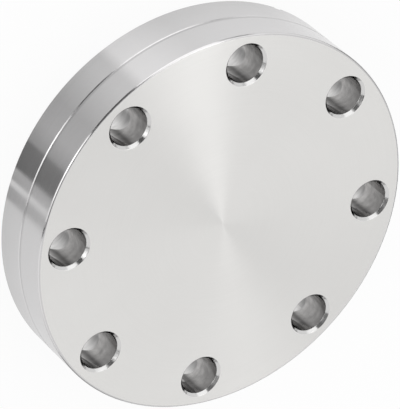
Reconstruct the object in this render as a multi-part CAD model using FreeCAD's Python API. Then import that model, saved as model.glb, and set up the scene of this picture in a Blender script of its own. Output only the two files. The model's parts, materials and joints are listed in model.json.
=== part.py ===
import FreeCAD, Part
import math
import os

# Blank knife-edge vacuum flange, turned from one piece of stainless steel. Millimetres.
# It lies on its mating face: that face is the plane z = 0 and the plain air side is on top.
# The origin is the centre of the mating face, and +X runs along a leak-test groove.

# Bolt holes, drilled through and chamfered at both mouths. The bolt circle is what the standard
# size is known by, so the rim and the gasket seat are set from it by the metal left between them.
BOLT_CIRCLE_DIAMETER = 72.4
BOLT_COUNT = 8
BOLT_HOLE_DIAMETER = 8.4
AIR_MOUTH_CHAMFER = 0.6
MATING_MOUTH_CHAMFER = 0.35

# Disc and its rim, with the metal left between a bolt hole's wall and the rim. The rim's chamfers
# run into the faces with a rounding.
RIM_LAND = 2.6
THICKNESS = 16.0
RIM_CHAMFER = 0.32
RIM_EDGE_ROUNDING = 0.4

# Fine V-shaped line turned round the rim, at its height above the mating face
RIM_LINE_HEIGHT = 7.8
RIM_LINE_WIDTH = 0.38
RIM_LINE_ANGLE = 90.0

# Gasket recess, with the metal left between a bolt hole's wall and its own
RECESS_LAND = 1.05
RECESS_MOUTH_CHAMFER = 0.2

# Knife edge: set in from the recess wall, with a flank that falls away outwards and an upright
# inner side. The tip's depth is from the mating face.
KNIFE_SETBACK = 2.65
KNIFE_TIP_DEPTH = 0.66
KNIFE_TIP_RADIUS = 0.1
KNIFE_FLANK_SLOPE = 20.0

# Pocket inside the knife edge, closed because this flange is a blank, and its depth from the tip
POCKET_DROP = 1.34
POCKET_CORNER_RADIUS = 0.3

# Leak-test grooves, from the recess wall out through the rim, midway between bolt holes
LEAK_GROOVE_COUNT = 2
LEAK_GROOVE_WIDTH = 2.0
LEAK_GROOVE_DEPTH = 1.0

# How far a cutting shape runs past the surface that it opens
OVERRUN = 1.0

BOLT_CIRCLE_RADIUS = BOLT_CIRCLE_DIAMETER / 2
BOLT_HOLE_RADIUS = BOLT_HOLE_DIAMETER / 2
RIM_RADIUS = BOLT_CIRCLE_RADIUS + BOLT_HOLE_RADIUS + RIM_LAND
RECESS_RADIUS = BOLT_CIRCLE_RADIUS - BOLT_HOLE_RADIUS - RECESS_LAND
KNIFE_RADIUS = RECESS_RADIUS - KNIFE_SETBACK

AXIS_POINT = FreeCAD.Vector(0, 0, 0)
AXIS = FreeCAD.Vector(0, 0, 1)


def section_point(radius, height):
    """A point of the half section, which is drawn in the plane y = 0."""
    return FreeCAD.Vector(radius, 0, height)


def corner_arc(before, corner, after, rounding):
    """Start, middle and end of the arc that rounds one corner of an outline."""
    to_before = (before - corner).normalize()
    to_after = (after - corner).normalize()
    half_angle = to_before.getAngle(to_after) / 2
    tangent_length = rounding / math.tan(half_angle)
    bisector = (to_before + to_after).normalize()
    start = corner + to_before * tangent_length
    middle = corner + bisector * (rounding / math.sin(half_angle) - rounding)
    end = corner + to_after * tangent_length
    return start, middle, end


def revolved(corners):
    """Solid of revolution about the axis, from corners given as (radius, height, rounding)."""
    points = [section_point(radius, height) for radius, height, rounding in corners]
    edges = []
    pen = None
    for index, (radius, height, rounding) in enumerate(corners):
        corner = points[index]
        start = corner
        end = corner
        if rounding > 0:
            after = points[(index + 1) % len(points)]
            start, middle, end = corner_arc(points[index - 1], corner, after, rounding)
        if pen is not None:
            edges.append(Part.LineSegment(pen, start).toShape())
        if rounding > 0:
            edges.append(Part.Arc(start, middle, end).toShape())
        pen = end
    edges.append(Part.LineSegment(pen, points[0]).toShape())
    return Part.Face(Part.Wire(edges)).revolve(AXIS_POINT, AXIS, 360)


def knife_edge():
    """The sharp corner under the tip's rounding and the foot of the flank, as (radius, depth)."""
    slope = math.radians(KNIFE_FLANK_SLOPE)
    half_tip_angle = (math.pi / 2 - slope) / 2
    tip_bisector = math.pi / 2 - half_tip_angle
    # The rounded tip is lowest at its stated depth, so the sharp corner lies a little lower.
    sharp_drop = KNIFE_TIP_RADIUS * (math.sin(tip_bisector) / math.sin(half_tip_angle) - 1)
    sharp_radius = KNIFE_RADIUS - KNIFE_TIP_RADIUS
    sharp_depth = KNIFE_TIP_DEPTH - sharp_drop
    foot_depth = sharp_depth + (RECESS_RADIUS - sharp_radius) * math.tan(slope)
    return (sharp_radius, sharp_depth), (RECESS_RADIUS, foot_depth)


def seat_corners():
    """Gasket seat, outwards from the axis: pocket floor, knife edge and recess wall."""
    (sharp_radius, sharp_depth), (foot_radius, foot_depth) = knife_edge()
    pocket_depth = KNIFE_TIP_DEPTH + POCKET_DROP
    return [
        (0, pocket_depth, 0),
        (sharp_radius, pocket_depth, POCKET_CORNER_RADIUS),
        (sharp_radius, sharp_depth, KNIFE_TIP_RADIUS),
        (foot_radius, foot_depth, 0),
        (RECESS_RADIUS, RECESS_MOUTH_CHAMFER, 0),
        (RECESS_RADIUS + RECESS_MOUTH_CHAMFER, 0, 0),
    ]


def rim_corners():
    """Chamfered rim with its fine V-shaped line, from the mating face up to the air side."""
    half_width = RIM_LINE_WIDTH / 2
    line_depth = half_width / math.tan(math.radians(RIM_LINE_ANGLE / 2))
    return [
        (RIM_RADIUS - RIM_CHAMFER, 0, RIM_EDGE_ROUNDING),
        (RIM_RADIUS, RIM_CHAMFER, 0),
        (RIM_RADIUS, RIM_LINE_HEIGHT - half_width, 0),
        (RIM_RADIUS - line_depth, RIM_LINE_HEIGHT, 0),
        (RIM_RADIUS, RIM_LINE_HEIGHT + half_width, 0),
        (RIM_RADIUS, THICKNESS - RIM_CHAMFER, 0),
        (RIM_RADIUS - RIM_CHAMFER, THICKNESS, RIM_EDGE_ROUNDING),
        (0, THICKNESS, 0),
    ]


def turned_disc():
    """The disc as it leaves the lathe, with its seat and rim."""
    return revolved(seat_corners() + rim_corners())


def bolt_hole():
    """Cutting shape of one bolt hole on the axis, flared where it meets both faces."""
    return revolved([
        (0, -OVERRUN, 0),
        (BOLT_HOLE_RADIUS + MATING_MOUTH_CHAMFER + OVERRUN, -OVERRUN, 0),
        (BOLT_HOLE_RADIUS, MATING_MOUTH_CHAMFER, 0),
        (BOLT_HOLE_RADIUS, THICKNESS - AIR_MOUTH_CHAMFER, 0),
        (BOLT_HOLE_RADIUS + AIR_MOUTH_CHAMFER + OVERRUN, THICKNESS + OVERRUN, 0),
        (0, THICKNESS + OVERRUN, 0),
    ])


def bolt_holes():
    """All bolt holes on their circle, with +X midway between two of them."""
    pitch = 360 / BOLT_COUNT
    holes = []
    for index in range(BOLT_COUNT):
        hole = bolt_hole()
        hole.translate(FreeCAD.Vector(BOLT_CIRCLE_RADIUS, 0, 0))
        hole.rotate(AXIS_POINT, AXIS, (index + 0.5) * pitch)
        holes.append(hole)
    return holes


def leak_groove():
    """Cutting shape of the leak-test groove along +X, which ends at the recess wall."""
    height = LEAK_GROOVE_DEPTH + OVERRUN
    corner = FreeCAD.Vector(0, -LEAK_GROOVE_WIDTH / 2, -OVERRUN)
    slot = Part.makeBox(RIM_RADIUS + OVERRUN, LEAK_GROOVE_WIDTH, height, corner)
    seat = Part.makeCylinder(RECESS_RADIUS, height, FreeCAD.Vector(0, 0, -OVERRUN), AXIS)
    return slot.cut(seat)


def leak_grooves():
    """The leak-test grooves, evenly spaced round the flange."""
    grooves = []
    for index in range(LEAK_GROOVE_COUNT):
        groove = leak_groove()
        groove.rotate(AXIS_POINT, AXIS, index * 360 / LEAK_GROOVE_COUNT)
        grooves.append(groove)
    return grooves


def flange():
    """The finished flange, one solid."""
    return turned_disc().cut(bolt_holes() + leak_grooves()).Solids[0]


os.makedirs("parts", exist_ok=True)
body = flange()
body.exportStep("parts/flange.step")
print("flange", round(body.Volume), "mm3, valid", body.isValid())
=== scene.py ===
import json
import math
import bpy
from mathutils import Matrix, Vector


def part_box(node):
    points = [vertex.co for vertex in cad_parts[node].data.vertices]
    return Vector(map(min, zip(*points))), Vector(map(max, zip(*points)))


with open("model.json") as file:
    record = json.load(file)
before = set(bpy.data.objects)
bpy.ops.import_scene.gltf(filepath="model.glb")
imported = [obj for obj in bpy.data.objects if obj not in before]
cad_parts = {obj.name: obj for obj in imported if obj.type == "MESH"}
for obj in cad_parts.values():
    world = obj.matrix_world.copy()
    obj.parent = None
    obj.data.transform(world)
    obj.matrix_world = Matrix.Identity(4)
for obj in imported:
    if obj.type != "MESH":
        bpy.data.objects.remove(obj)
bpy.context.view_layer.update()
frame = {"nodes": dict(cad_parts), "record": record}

# A blank vacuum flange of turned stainless steel, lying on its mating face. Lengths are in metres
# and angles in degrees. Azimuths named "seen" are counted from the camera's own azimuth, so that 0
# faces the camera.
MM = 0.001
flange = frame["nodes"]["flange"]
LOW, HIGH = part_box("flange")
RIM_RADIUS = HIGH.x
TOP = HIGH.z
TOP_CENTRE = Vector((0, 0, TOP))
bolts = next(mount for mount in frame["record"]["mounts"] if mount["name"] == "bolts")
BOLT_CIRCLE_RADIUS = bolts["dims"]["pcd_mm"] / 2 * MM
BOLT_COUNT = bolts["dims"]["count"]
BOLT_HOLE_RADIUS = bolts["dims"]["hole_r_mm"] * MM
AIR_MOUTH_CHAMFER = 0.6 * MM
RIM_LINE_HEIGHT = 7.8 * MM
RIM_CHAMFER = 0.32 * MM
RIM_CHAMFER_ANGLE = 45
RIM_EDGE_ROUNDING = 0.4 * MM

CAMERA_AZIMUTH = 70.76
CAMERA_ELEVATION = 47.45
CAMERA_ROLL = -131.46
CAMERA_DISTANCE = 742.99 * MM
CAMERA_TARGET = Vector((2.69 * MM, 8.04 * MM, TOP))
CAMERA_LENS_MM = 321.8
SENSOR_MM = 36.0

FACE_STEEL = (0.721, 0.714, 0.700)
RIM_STEEL = (0.700, 0.692, 0.695)
LINE_STEEL = (0.70, 0.692, 0.694)
BORE_STEEL = (0.585, 0.579, 0.575)
MOUTH_STEEL = (0.62, 0.616, 0.612)

# Parts of a noise's range over which tone or roughness runs
WIDE_SPAN = (0.2, 0.8)
MIDDLE_SPAN = (0.25, 0.75)
NARROW_SPAN = (0.3, 0.7)

# Turned face. The flanks of its turning marks lean a little outwards, as the sine of their angle.
FACE_LEAN = 0.025
FACE_RING_SPACING = 0.22 * MM
RING_PERIODS_PER_METRE = 60
FACE_STAIN_LENGTH = 22 * MM
FACE_EDGE_SOFTNESS = 0.2 * MM

# Turned rim, with heights above and below its fine line for the darker band of painted shade beside
# that line
RIM_STREAK_LENGTH = 30 * MM
RIM_STREAK_HEIGHT = 0.25 * MM
LINE_SHADE_TONE = 0.82
LINE_SHADE_FOOT = 0.1 * MM
LINE_SHADE_FADE = (0.55 * MM, 0.95 * MM)

# Rim edges: painted shade on their rounding, by distance from its start, and the soft corner at the
# rim
EDGE_SHADE_TONE = 0.84
EDGE_SHADE_FADE = (0.22 * MM, 0.3 * MM)
RIM_CORNER_LEAN = 0.99
RIM_CORNER_WIDTH = 0.08 * MM

LINE_GRAIN_LENGTH = 2 * MM

# Drilled bores: marks, and by height painted shade at the foot, and painted light that turns to
# painted shade up towards the air side's mouth
BORE_MARK_LENGTH = 3.5 * MM
BORE_MARK_HEIGHT = 1.1 * MM
BORE_FOOT_SHADE = 0.83
BORE_FOOT_SHADE_FADE = (2 * MM, 6 * MM)
BORE_PAINTED_LIGHT = 1.25
BORE_MOUTH_SHADE = 0.45
BORE_MOUTH_SHADE_START = 5.5 * MM

MOUTH_GRAIN_LENGTH = 2 * MM
MOUTH_GRAIN_HEIGHT = 0.4 * MM
MOUTH_EDGE_SOFTNESS = 0.2 * MM

EDGE_SOFTNESS_SAMPLES = 6
QUARTER_TURN = 0.25

# Limits that sort the facets into finishes: three shares of a facet's normal along Z, and two
# distances of its centre from a face or a wall. Corners above the last angle stay sharp.
FLAT = 0.999
NEARLY_FLAT = 0.99
UPRIGHT = 0.1
IN_FACE_PLANE = 0.005 * MM
NEARBY = 1 * MM
SHARP_ANGLE = 25

# The floor is white to the camera. What mirrors show of it is a little less, so that it darkens
# near the flange as a real floor does.
FLOOR_COLOUR = 0.85
FLOOR_WHITE_SHARE = 0.90
FLOOR_MIRRORED_SHARE = 0.72
FLOOR_RADIUS = 4.0
FLOOR_SIDES = 96
WINDOW_MARGIN = 1 * MM

# How far below the mating face the floor and the cards on it lie, each in a plane of its own
NEAR_CARD_GAP = 0.01 * MM
FAR_CARD_GAP = 0.015 * MM
FLOOR_GAP = 0.02 * MM

# Softboxes, as (name, seen azimuth, elevation, width, height, radiance)
SOFTBOX_DISTANCE = 1.0
SOFTBOXES = [
    ("softbox_right", -47, 37, 0.87, 0.30, 0.45),
    ("softbox_left", 28, 38, 0.66, 0.30, 0.5),
]

# Studio cards show only in reflections. A level of 1 is white.
# Cards in the air, as (name, azimuths, tilts, levels, distance). Each is mirrored by surfaces that
# lean towards its seen azimuths by its tilts, and its levels are those at its two azimuths. Those
# with tilts round 45 show in the rim's chamfer and the holes' mouths, the others in the rounding
# between chamfer and face.
FAR_CARD_DISTANCE = 0.9
NEAR_CARD_DISTANCE = 0.45
AIR_CARD_STEPS = 8
AIR_CARDS = [
    ("camera_card", (-12, 5.5), (38, 60), (0.1, 0.1), FAR_CARD_DISTANCE),
    ("ceiling_card", (-17, 36), (23, 45), (0.2, 0.2), FAR_CARD_DISTANCE),
    ("glint_card", (11, 18), (43, 60), (2.2, 2.2), FAR_CARD_DISTANCE),
    ("left_edge_card", (26, 33), (43, 60), (0.85, 1.25), FAR_CARD_DISTANCE),
    ("left_dark_card", (32, 37), (46, 64), (0.1, 0.1), FAR_CARD_DISTANCE),
    ("right_edge_card", (-48.5, -38.5), (47, 64), (0.3, 0.3), FAR_CARD_DISTANCE),
    ("high_card", (-40.5, -12), (14, 26), (3.3, 1.0), NEAR_CARD_DISTANCE),
    ("high_edge_card", (-52, -17), (26, 43), (1.4, 1.4), NEAR_CARD_DISTANCE),
]

# Cards round the flange, as (name, circles, seen azimuths, level), with circles as (radius,
# height): a low grey wall all round, and a grey sheet just above the floor behind the flange
ROUND_CARD_STEPS = 48
ROUND_CARDS = [
    ("horizon_card", [(1.5, 0), (1.5, 0.16)], (-180, 180), 0.3),
    ("back_floor_card", [(0.1, 0.4 * MM), (1.49, 0.4 * MM)], (90, 270), 0.4),
]

# Brightness of the cards that lie on the floor round the rim, as (place, level). A place is the
# angle on the rim, counted from the middle of the card's half, where that part is mirrored.
RIM_CARD_LEVELS = [
    (-88, 1.03),
    (-72, 0.98),
    (-63, 0.92),
    (-48, 0.93),
    (-32, 0.90),
    (-26, 0.97),
    (-21, 1.03),
    (-15.2, 1.04),
    (-12.0, 0.79),
    (-8, 0.77),
    (-2, 0.66),
    (4, 0.54),
    (12, 0.56),
    (16, 0.46),
    (17.5, 0.42),
    (18.5, 0.24),
    (25.8, 0.21),
    (26.8, 0.58),
    (29.4, 0.52),
    (30.2, 0.93),
    (31.0, 0.90),
    (32.0, 0.54),
    (34.8, 0.52),
    (36.2, 0.84),
    (48, 0.86),
    (64, 0.87),
    (88, 0.89),
]
# Rows of those cards outwards from their start just clear of the rim, as (distance, share of the
# level)
RIM_CARD_ROWS = [(0, 0.86), (7 * MM, 0.95), (14 * MM, 1.0), (60 * MM, 1.0)]
RIM_CARD_CLEARANCE = 0.05 * MM

# The bolt holes' walls mirror a card far below, by way of a round window in the floor that the
# flange covers and only reflections pass. Its brightness goes by (seen azimuth, level).
PIT_DEPTH = 1.0
PIT_CARD_RADII = (0.01, 1.0, 3.0)
PIT_LEVELS = [
    (-180, 1.14),
    (-130, 1.14),
    (-90, 0.98),
    (-60, 0.99),
    (-30, 0.90),
    (-12, 0.73),
    (0, 0.62),
    (12, 0.53),
    (24, 0.44),
    (45, 0.36),
    (60, 0.46),
    (85, 0.84),
    (120, 1.15),
    (180, 1.14),
]


def direction(seen_azimuth, elevation):
    """Unit vector at an azimuth counted from the camera's."""
    azimuth = math.radians(CAMERA_AZIMUTH + seen_azimuth)
    height = math.radians(elevation)
    flat = math.cos(height)
    return Vector((flat * math.cos(azimuth), flat * math.sin(azimuth), math.sin(height)))


def mirrored(seen_azimuth, tilt):
    """Where the camera looks by way of a surface that leans by tilt towards a seen azimuth."""
    normal = direction(seen_azimuth, 90 - tilt)
    view = direction(0, CAMERA_ELEVATION)
    return 2 * normal.dot(view) * normal - view


def looking(position, target, roll=0.0):
    """World matrix of something at position that looks at target along its own -Z."""
    back = (position - target).normalized()
    right = Vector((0, 0, 1)).cross(back).normalized()
    up = back.cross(right)
    turn = math.radians(roll)
    tilted_up = up * math.cos(turn) + right * math.sin(turn)
    tilted_right = tilted_up.cross(back)
    axes = Matrix((tilted_right, tilted_up, back)).transposed()
    return Matrix.Translation(position) @ axes.to_4x4()


def even_steps(ends, count):
    """Values from one end to the other in count equal steps."""
    first, last = ends
    return [first + (last - first) * step / count for step in range(count + 1)]


def new_object(name, data):
    piece = bpy.data.objects.new(name, data)
    bpy.context.scene.collection.objects.link(piece)
    return piece


def add_camera():
    data = bpy.data.cameras.new("camera")
    data.lens = CAMERA_LENS_MM
    data.sensor_width = SENSOR_MM
    camera = new_object("camera", data)
    position = CAMERA_TARGET + direction(0, CAMERA_ELEVATION) * CAMERA_DISTANCE
    camera.matrix_world = looking(position, CAMERA_TARGET, CAMERA_ROLL)
    bpy.context.scene.camera = camera


def add_world():
    world = bpy.data.worlds.new("studio")
    world.use_nodes = True
    bpy.context.scene.world = world
    background = world.node_tree.nodes["Background"]
    background.inputs["Color"].default_value = (1, 1, 1, 1)
    background.inputs["Strength"].default_value = 1.0


def add_softbox(name, seen_azimuth, elevation, width, height, radiance):
    data = bpy.data.lights.new(name, "AREA")
    data.shape = "RECTANGLE"
    data.size = width
    data.size_y = height
    data.energy = radiance * math.pi * width * height
    place = TOP_CENTRE + direction(seen_azimuth, elevation) * SOFTBOX_DISTANCE
    new_object(name, data).matrix_world = looking(place, TOP_CENTRE)


def new_material(name):
    material = bpy.data.materials.new(name)
    material.use_nodes = True
    material.node_tree.nodes.clear()
    return material, material.node_tree.nodes, material.node_tree.links


def mesh_object(name, vertices, faces, material):
    mesh = bpy.data.meshes.new(name)
    mesh.from_pydata(vertices, [], faces)
    mesh.materials.append(material)
    return new_object(name, mesh)


def math_node(nodes, operation, factor=None):
    """Node of a number operation, with a factor as its second number if it has one."""
    node = nodes.new("ShaderNodeMath")
    node.operation = operation
    if factor is not None:
        node.inputs[1].default_value = factor
    return node


def floor_material():
    """White behind the object, with its soft shadow kept."""
    material, nodes, links = new_material("floor")
    path = nodes.new("ShaderNodeLightPath")
    pale = nodes.new("ShaderNodeBsdfDiffuse")
    pale.inputs["Color"].default_value = (FLOOR_COLOUR, FLOOR_COLOUR, FLOOR_COLOUR, 1)
    white = nodes.new("ShaderNodeEmission")
    mirrored_ray = math_node(nodes, "MAXIMUM")
    mirrored_share = math_node(nodes, "MULTIPLY", FLOOR_MIRRORED_SHARE)
    seen_share = math_node(nodes, "MULTIPLY", FLOOR_WHITE_SHARE)
    share = math_node(nodes, "MAXIMUM")
    mix = nodes.new("ShaderNodeMixShader")
    output = nodes.new("ShaderNodeOutputMaterial")
    links.new(path.outputs["Is Glossy Ray"], mirrored_ray.inputs[0])
    links.new(path.outputs["Is Transmission Ray"], mirrored_ray.inputs[1])
    links.new(mirrored_ray.outputs[0], mirrored_share.inputs[0])
    links.new(path.outputs["Is Camera Ray"], seen_share.inputs[0])
    links.new(seen_share.outputs[0], share.inputs[0])
    links.new(mirrored_share.outputs[0], share.inputs[1])
    links.new(share.outputs[0], mix.inputs[0])
    links.new(pale.outputs[0], mix.inputs[1])
    links.new(white.outputs[0], mix.inputs[2])
    links.new(mix.outputs[0], output.inputs["Surface"])
    return material


def circle(radius, height):
    angles = [2 * math.pi * side / FLOOR_SIDES for side in range(FLOOR_SIDES)]
    return [(radius * math.cos(angle), radius * math.sin(angle), height) for angle in angles]


def add_floor():
    """Pale floor, with the window under the flange that only the bolt holes' reflections pass."""
    material = floor_material()
    window = circle(RIM_RADIUS - WINDOW_MARGIN, LOW.z - FLOOR_GAP)
    edge = circle(FLOOR_RADIUS, LOW.z - FLOOR_GAP)
    ring = []
    for side in range(FLOOR_SIDES):
        following = (side + 1) % FLOOR_SIDES
        ring.append((side, following, FLOOR_SIDES + following, FLOOR_SIDES + side))
    floor = mesh_object("floor", window + edge, ring, material)
    pane = mesh_object("floor_window", window, [tuple(range(FLOOR_SIDES))], material)
    pane.visible_glossy = False


def card_material(name):
    """Glowing card whose brightness its mesh holds at each vertex."""
    material, nodes, links = new_material(name)
    level = nodes.new("ShaderNodeAttribute")
    level.attribute_name = "level"
    glow = nodes.new("ShaderNodeEmission")
    output = nodes.new("ShaderNodeOutputMaterial")
    links.new(level.outputs["Fac"], glow.inputs["Strength"])
    links.new(glow.outputs[0], output.inputs["Surface"])
    return material


def reflected_only(piece):
    """A studio card that only reflections show."""
    piece.visible_camera = False
    piece.visible_diffuse = False
    piece.visible_transmission = False
    piece.visible_shadow = False


def add_card(name, rows, levels):
    """Card from rows of points, with the brightness at each point."""
    width = len(rows[0])
    vertices = [point for row in rows for point in row]
    faces = []
    for row in range(len(rows) - 1):
        for column in range(width - 1):
            corner = row * width + column
            faces.append((corner, corner + 1, corner + width + 1, corner + width))
    card = mesh_object(name, vertices, faces, card_material(name))
    level = card.data.attributes.new("level", "FLOAT", "POINT")
    level.data.foreach_set("value", [value for row in levels for value in row])
    reflected_only(card)


def add_air_card(name, azimuths, tilts, levels, distance):
    """Card in the air, one of AIR_CARDS."""
    rows = []
    for tilt in even_steps(tilts, AIR_CARD_STEPS):
        row = []
        for azimuth in even_steps(azimuths, AIR_CARD_STEPS):
            row.append(TOP_CENTRE + mirrored(azimuth, tilt) * distance)
        rows.append(row)
    add_card(name, rows, [even_steps(levels, AIR_CARD_STEPS)] * len(rows))


def add_round_card(name, circles, azimuths, level):
    """Card round the flange, one of ROUND_CARDS."""
    rows = []
    for radius, height in circles:
        row = []
        for azimuth in even_steps(azimuths, ROUND_CARD_STEPS):
            row.append(direction(azimuth, 0) * radius + Vector((0, 0, height)))
        rows.append(row)
    add_card(name, rows, [[level] * len(rows[0])] * len(rows))


def add_rim_card(name, turn, height):
    """Floor card that fills the mirror image in one half of the rim, the half whose middle is at
    the seen azimuth turn."""
    rows = []
    levels = []
    for distance, share in RIM_CARD_ROWS:
        row = []
        for angle, level in RIM_CARD_LEVELS:
            foot = direction(turn + angle, 0) * (RIM_RADIUS + RIM_CARD_CLEARANCE)
            point = foot + direction(turn + 2 * angle, 0) * distance
            row.append((point.x, point.y, height))
        rows.append(row)
        levels.append([level * share for angle, level in RIM_CARD_LEVELS])
    add_card(name, rows, levels)


def add_pit_card():
    """The card far below that the bolt holes' walls mirror."""
    rows = []
    for radius in PIT_CARD_RADII:
        row = []
        for azimuth, level in PIT_LEVELS:
            point = direction(azimuth, 0) * radius
            row.append((point.x, point.y, LOW.z - PIT_DEPTH))
        rows.append(row)
    add_card("pit_card", rows, [[level for azimuth, level in PIT_LEVELS]] * len(rows))


class Shading:
    """Node helpers for one steel finish of the flange."""

    def __init__(self, name, colour, roughness, anisotropic=0):
        self.material, self.nodes, self.links = new_material(name)
        self.shader = self.nodes.new("ShaderNodeBsdfPrincipled")
        self.shader.inputs["Base Color"].default_value = (*colour, 1)
        self.shader.inputs["Metallic"].default_value = 1.0
        self.shader.inputs["Roughness"].default_value = roughness
        self.shader.inputs["Anisotropic"].default_value = anisotropic
        output = self.nodes.new("ShaderNodeOutputMaterial")
        self.links.new(self.shader.outputs[0], output.inputs["Surface"])
        self.place = self.nodes.new("ShaderNodeTexCoord").outputs["Object"]
        split = self.nodes.new("ShaderNodeSeparateXYZ")
        self.links.new(self.place, split.inputs[0])
        self.height = split.outputs["Z"]
        flat = self.vector("MULTIPLY", self.place, (1, 1, 0)).outputs[0]
        self.radius = self.vector("LENGTH", flat).outputs["Value"]
        self.outwards = self.vector("NORMALIZE", flat).outputs[0]

    def set(self, socket, value):
        """Gives a socket a constant, or links it to another node's output."""
        if isinstance(value, bpy.types.NodeSocket):
            self.links.new(value, socket)
        else:
            socket.default_value = value

    def math(self, operation, first, second=0.0):
        node = self.nodes.new("ShaderNodeMath")
        node.operation = operation
        self.set(node.inputs[0], first)
        self.set(node.inputs[1], second)
        return node.outputs[0]

    def vector(self, operation, *values):
        """Node of a vector operation on values."""
        node = self.nodes.new("ShaderNodeVectorMath")
        node.operation = operation
        for socket, value in zip(node.inputs, values):
            self.set(socket, value)
        return node

    def scaled(self, vector, share):
        node = self.vector("SCALE", vector)
        self.set(node.inputs["Scale"], share)
        return node.outputs[0]

    def ramp(self, value, start, end, low=0.0, high=1.0, bend="LINEAR"):
        """Runs from low to high while value runs from start to end."""
        node = self.nodes.new("ShaderNodeMapRange")
        node.interpolation_type = bend
        self.set(node.inputs["Value"], value)
        node.inputs["From Min"].default_value = start
        node.inputs["From Max"].default_value = end
        node.inputs["To Min"].default_value = low
        node.inputs["To Max"].default_value = high
        return node.outputs[0]

    def noise(self, vector, detail=2.0):
        node = self.nodes.new("ShaderNodeTexNoise")
        node.inputs["Scale"].default_value = 1.0
        node.inputs["Detail"].default_value = detail
        self.links.new(vector, node.inputs["Vector"])
        return node.outputs["Fac"]

    def stretched(self, across, upwards):
        """The place on the flange in periods of the given lengths, across along X and Y."""
        return self.vector("MULTIPLY", self.place, (1 / across, 1 / across, 1 / upwards)).outputs[0]

    def rings(self, spacing):
        """Place that changes quickly with the radius and slowly round the axis."""
        quick = self.nodes.new("ShaderNodeCombineXYZ")
        self.links.new(self.math("DIVIDE", self.radius, spacing), quick.inputs["X"])
        slow = (RING_PERIODS_PER_METRE, RING_PERIODS_PER_METRE, 0)
        return self.vector("MULTIPLY_ADD", self.place, slow, quick.outputs[0]).outputs[0]

    def vary_roughness(self, noise, spread):
        middle = self.shader.inputs["Roughness"].default_value
        rough = self.ramp(noise, *MIDDLE_SPAN, middle - spread, middle + spread)
        self.links.new(rough, self.shader.inputs["Roughness"])

    def vary_tone(self, share, *others):
        """Multiplies the colour by shares."""
        for other in others:
            share = self.math("MULTIPLY", share, other)
        colour = self.shader.inputs["Base Color"].default_value[:3]
        self.links.new(self.scaled(colour, share), self.shader.inputs["Base Color"])

    def turned(self):
        """Spreads reflections across the turning marks, which run round the axis."""
        tangent = self.nodes.new("ShaderNodeTangent")
        tangent.direction_type = "RADIAL"
        tangent.axis = "Z"
        self.links.new(tangent.outputs[0], self.shader.inputs["Tangent"])
        self.shader.inputs["Anisotropic Rotation"].default_value = QUARTER_TURN

    def leaning(self, lean):
        """Normal that leans outwards by the sine of its angle, from straight up on the flange's
        upper half and from straight down on its lower half."""
        cosine = self.math("SQRT", self.math("SUBTRACT", 1.0, self.math("MULTIPLY", lean, lean)))
        half_way = (LOW.z + HIGH.z) / 2
        upwards = self.ramp(self.height, half_way - MM, half_way + MM, -1, 1)
        up = self.nodes.new("ShaderNodeCombineXYZ")
        self.links.new(self.math("MULTIPLY", cosine, upwards), up.inputs["Z"])
        return self.vector("ADD", self.scaled(self.outwards, lean), up.outputs[0]).outputs[0]

    def round_edges(self, radius, normal=None):
        rounded = self.nodes.new("ShaderNodeBevel")
        rounded.samples = EDGE_SOFTNESS_SAMPLES
        rounded.inputs["Radius"].default_value = radius
        if normal:
            self.links.new(normal, rounded.inputs["Normal"])
        self.links.new(rounded.outputs[0], self.shader.inputs["Normal"])


def face_steel():
    """Turned face: rings too fine to tell apart, and soft stains left by wiping it clean."""
    steel = Shading("turned_face", FACE_STEEL, roughness=0.30, anisotropic=0.85)
    steel.turned()
    rings = steel.noise(steel.rings(FACE_RING_SPACING), detail=3)
    stains = steel.noise(steel.stretched(FACE_STAIN_LENGTH, FACE_STAIN_LENGTH), detail=3)
    steel.vary_roughness(rings, spread=0.02)
    ring_tone = steel.ramp(rings, *WIDE_SPAN, low=0.985, high=1.015)
    stain_tone = steel.ramp(stains, *NARROW_SPAN, low=0.985, high=1.015)
    steel.vary_tone(ring_tone, stain_tone)
    steel.round_edges(FACE_EDGE_SOFTNESS, steel.leaning(FACE_LEAN))
    return steel.material


def rim_steel():
    """Turned rim, with painted shade in a band just above its fine line."""
    steel = Shading("turned_rim", RIM_STEEL, roughness=0.2, anisotropic=0.8)
    steel.turned()
    streaks = steel.noise(steel.stretched(RIM_STREAK_LENGTH, RIM_STREAK_HEIGHT), detail=3)
    steel.vary_roughness(streaks, spread=0.03)
    streak_tone = steel.ramp(streaks, *WIDE_SPAN, low=0.975, high=1.025)
    # Painted shade: the rim's colour is darkened in a band just above its fine line
    fade_start, fade_end = (RIM_LINE_HEIGHT + height for height in LINE_SHADE_FADE)
    shade_top = steel.ramp(steel.height, fade_start, fade_end)
    shade_foot = steel.ramp(steel.height, RIM_LINE_HEIGHT - LINE_SHADE_FOOT, RIM_LINE_HEIGHT, 1, 0)
    line_shade = steel.ramp(steel.math("MAXIMUM", shade_top, shade_foot), 0, 1, LINE_SHADE_TONE, 1)
    steel.vary_tone(streak_tone, line_shade)
    return steel.material


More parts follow.
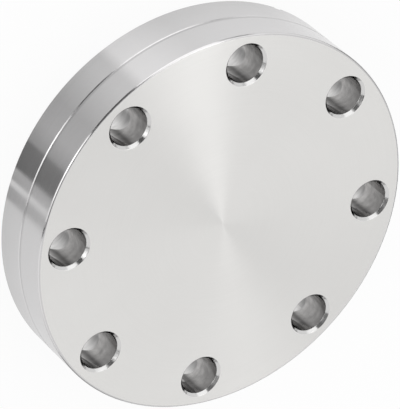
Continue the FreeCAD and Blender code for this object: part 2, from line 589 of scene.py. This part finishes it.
def edge_steel():
    """Rim edges: a chamfer that meets the rim in a soft corner and runs into the face with a
    rounding darkened by painted shade."""
    steel = Shading("turned_edge", RIM_STEEL, roughness=0.13)
    chamfer_lean = math.sin(math.radians(RIM_CHAMFER_ANGLE))
    rounding_width = RIM_EDGE_ROUNDING * math.sin(math.radians(RIM_CHAMFER_ANGLE))
    tangent_length = RIM_EDGE_ROUNDING * math.tan(math.radians(RIM_CHAMFER_ANGLE / 2))
    start = RIM_RADIUS - RIM_CHAMFER - tangent_length
    corner_start = RIM_RADIUS - RIM_CORNER_WIDTH
    corner_lean = RIM_CORNER_LEAN - chamfer_lean
    rounding = steel.ramp(steel.radius, start, start + rounding_width, 0, chamfer_lean)
    corner = steel.ramp(steel.radius, corner_start, RIM_RADIUS, 0, corner_lean)
    normal = steel.leaning(steel.math("ADD", rounding, corner))
    steel.links.new(normal, steel.shader.inputs["Normal"])
    # Painted shade: the rounding's colour is darkened up to where this fade ends
    fade_start, fade_end = (start + distance for distance in EDGE_SHADE_FADE)
    steel.vary_tone(steel.ramp(steel.radius, fade_start, fade_end, EDGE_SHADE_TONE, 1))
    return steel.material


def line_steel():
    """The fine line round the rim, and the small turned steps of the gasket seat."""
    steel = Shading("turned_line", LINE_STEEL, roughness=0.2)
    grain = steel.noise(steel.stretched(LINE_GRAIN_LENGTH, LINE_GRAIN_LENGTH))
    steel.vary_roughness(grain, spread=0.04)
    return steel.material


def bore_steel():
    """Drilled walls with the drill's marks round them, and painted light and shade by height:
    lightest below the middle, darker at the foot and towards the mouth.
    """
    steel = Shading("drilled_bore", BORE_STEEL, roughness=0.06)
    marks = steel.noise(steel.stretched(BORE_MARK_LENGTH, BORE_MARK_HEIGHT), detail=5)
    steel.vary_roughness(marks, spread=0.02)
    mark_tone = steel.ramp(marks, *NARROW_SPAN, low=0.84, high=1.11)
    # Painted shade at the foot, and painted light below the middle that turns to painted shade
    # towards the mouth
    foot_start, foot_end = (LOW.z + height for height in BORE_FOOT_SHADE_FADE)
    foot_shade = steel.ramp(steel.height, foot_start, foot_end, BORE_FOOT_SHADE, 1)
    painted_light_and_shade = steel.ramp(
        steel.height,
        LOW.z + BORE_MOUTH_SHADE_START,
        HIGH.z - AIR_MOUTH_CHAMFER,
        BORE_PAINTED_LIGHT,
        BORE_MOUTH_SHADE,
        "SMOOTHSTEP",
    )
    steel.vary_tone(mark_tone, foot_shade, painted_light_and_shade)
    return steel.material


def mouth_steel():
    """Chamfers at the holes' mouths, with soft edges."""
    steel = Shading("hole_mouth", MOUTH_STEEL, roughness=0.15)
    grain = steel.noise(steel.stretched(MOUTH_GRAIN_LENGTH, MOUTH_GRAIN_HEIGHT))
    steel.vary_roughness(grain, spread=0.04)
    steel.round_edges(MOUTH_EDGE_SOFTNESS)
    return steel.material


def bolt_hole_places():
    """Centres of the bolt holes, with +X midway between two of them."""
    places = []
    for index in range(BOLT_COUNT):
        angle = 2 * math.pi * (index + 0.5) / BOLT_COUNT
        places.append(Vector((math.cos(angle), math.sin(angle), 0)) * BOLT_CIRCLE_RADIUS)
    return places


HOLES = bolt_hole_places()
FACE, RIM, BORE, MOUTH, EDGE, LINE = range(6)


def finish_of(polygon):
    """Which of the finishes a facet of the flange has."""
    flat_centre = Vector((polygon.center.x, polygon.center.y, 0))
    from_hole = min((flat_centre - hole).length for hole in HOLES)
    from_face = min(polygon.center.z - LOW.z, HIGH.z - polygon.center.z)
    flatness = abs(polygon.normal.z)
    if flatness > FLAT and from_face < IN_FACE_PLANE:
        return FACE
    if from_hole < BOLT_HOLE_RADIUS + NEARBY:
        return BORE if flatness < UPRIGHT else MOUTH
    if flat_centre.length < RIM_RADIUS - NEARBY:
        return LINE if UPRIGHT < flatness < NEARLY_FLAT else FACE
    if flatness < UPRIGHT:
        return RIM
    return EDGE if from_face < NEARBY else LINE


def dress_flange():
    mesh = flange.data
    mesh.materials.clear()
    for finish in (face_steel, rim_steel, bore_steel, mouth_steel, edge_steel, line_steel):
        mesh.materials.append(finish())
    for polygon in mesh.polygons:
        polygon.material_index = finish_of(polygon)
    mesh.shade_smooth()
    mesh.set_sharp_from_angle(angle=math.radians(SHARP_ANGLE))
    flat_first = flange.modifiers.new("flat_facets_first", "WEIGHTED_NORMAL")
    flat_first.keep_sharp = True
    flat_first.mode = "FACE_AREA_WITH_ANGLE"


add_camera()
add_floor()
add_world()
for softbox in SOFTBOXES:
    add_softbox(*softbox)
for card in AIR_CARDS:
    add_air_card(*card)
for card in ROUND_CARDS:
    add_round_card(*card)
add_rim_card("rim_card_near", 0, LOW.z - NEAR_CARD_GAP)
add_rim_card("rim_card_far", 180, LOW.z - FAR_CARD_GAP)
add_pit_card()
dress_flange()

scene = bpy.context.scene
scene.view_settings.view_transform = "Standard"
